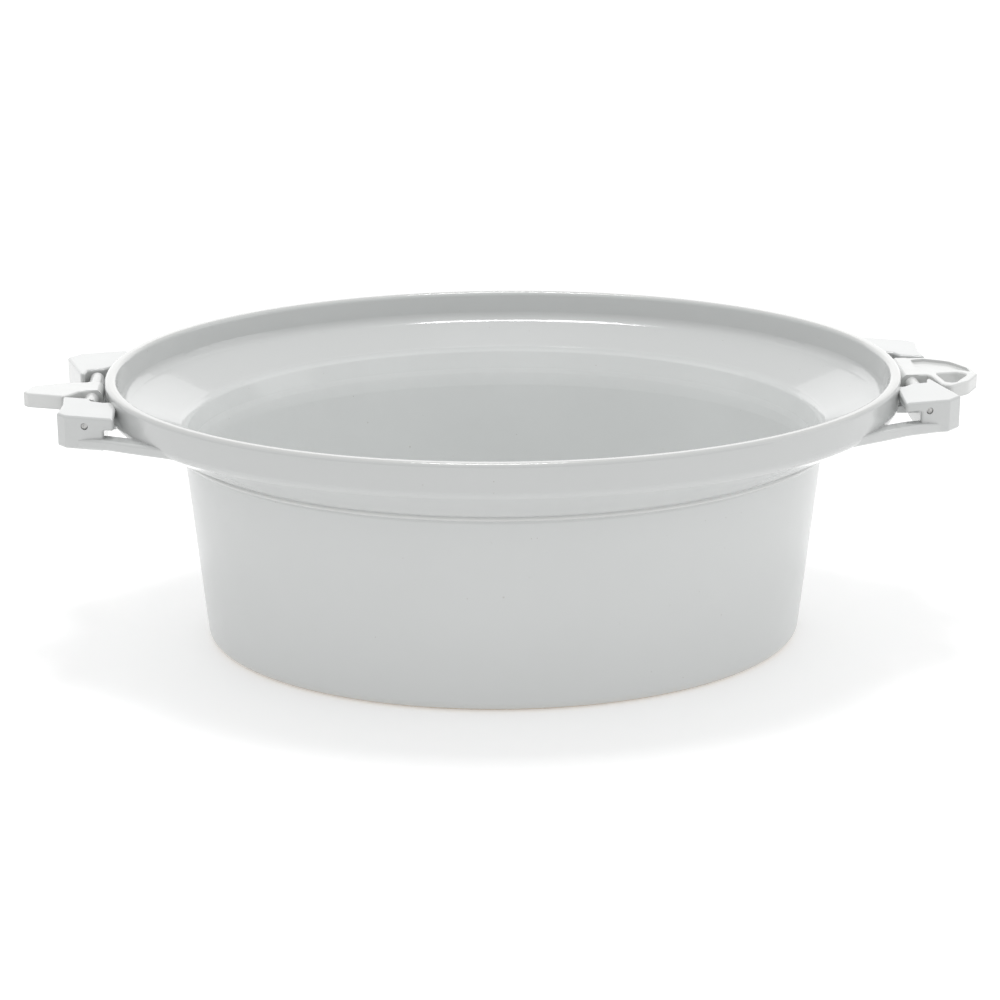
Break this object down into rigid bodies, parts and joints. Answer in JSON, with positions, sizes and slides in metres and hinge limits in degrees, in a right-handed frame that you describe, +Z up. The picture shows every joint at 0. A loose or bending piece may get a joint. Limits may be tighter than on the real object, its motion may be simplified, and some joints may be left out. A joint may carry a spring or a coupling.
{
  "type": "slow cooker pot",
  "caption": "Oval glazed pot with a wide dished flange, drafted bowl and a hinged flip tab between lugs at each end.",
  "frame": {"origin": "centre of the oval foot, on the surface that the pot stands on", "axes": "+X along the length towards the looped tab, +Y to the back, +Z up"},
  "size_m": [0.4191, 0.265, 0.121],
  "materials": {
    "glaze": "white gloss glaze",
    "tab_resin": "white gloss",
    "pin_steel": "turned steel"
  },
  "bodies": {
    "pot": {"crock": "glaze", "left_hinge_pin": "pin_steel", "right_hinge_pin": "pin_steel"},
    "left_flip_tab": {"left_tab": "tab_resin"},
    "right_flip_tab": {"right_tab": "tab_resin"}
  },
  "joints": [
    {"name": "left_tab_hinge", "type": "hinge", "parent": "pot", "child": "left_flip_tab", "pos_m": [-0.18025, 0, 0.113], "axis": [0, 1, 0], "range_deg": [0, 90]},
    {"name": "right_tab_hinge", "type": "hinge", "parent": "pot", "child": "right_flip_tab", "pos_m": [0.18025, 0, 0.113], "axis": [0, -1, 0], "range_deg": [0, 90]}
  ]
}
